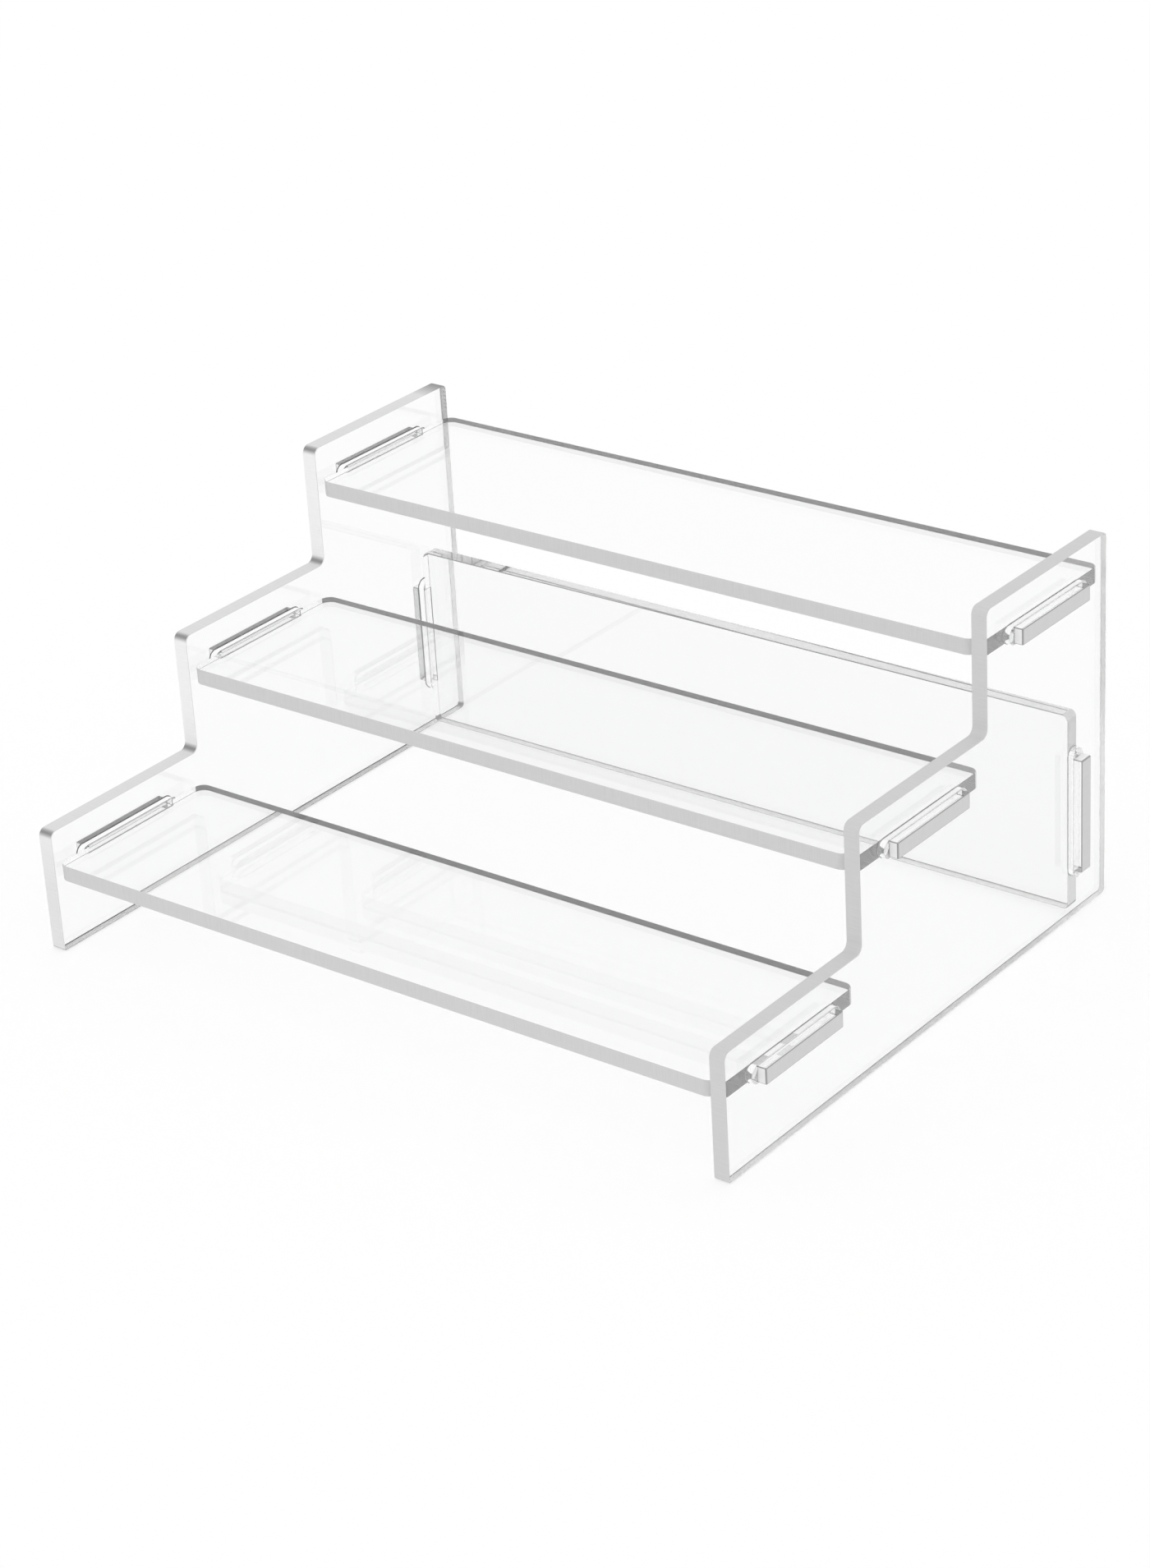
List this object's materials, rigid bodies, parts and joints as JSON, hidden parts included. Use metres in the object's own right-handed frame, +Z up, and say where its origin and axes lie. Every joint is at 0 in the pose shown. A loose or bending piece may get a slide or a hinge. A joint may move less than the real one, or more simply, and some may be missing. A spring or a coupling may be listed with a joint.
{
  "type": "display riser",
  "caption": "Clear acrylic stepped display riser: tiered shelves and an upright back panel, each tabbed through round-ended slots in stepped side panels, for showing bottles and small goods.",
  "frame": {"origin": "on the surface it stands on, under the middle of the overall box", "axes": "+X from the left side panel to the right one, +Y from the low front step to the back, +Z up"},
  "size_m": [0.3066, 0.234, 0.1404],
  "materials": {
    "clear_acrylic": "clear cast sheet, glossy faces, finely satined cut edges"
  },
  "bodies": {
    "shelving": {"bottom_shelf": "clear_acrylic", "middle_shelf": "clear_acrylic", "top_shelf": "clear_acrylic", "back_panel": "clear_acrylic"},
    "left_side": {"left_side_panel": "clear_acrylic"},
    "right_side": {"right_side_panel": "clear_acrylic"}
  },
  "joints": [
    {"name": "left_side_pull_off", "type": "slide", "parent": "shelving", "child": "left_side", "axis": [-1, 0, 0], "range_m": [0, 0.0098]},
    {"name": "right_side_pull_off", "type": "slide", "parent": "shelving", "child": "right_side", "axis": [1, 0, 0], "range_m": [0, 0.0098]}
  ]
}
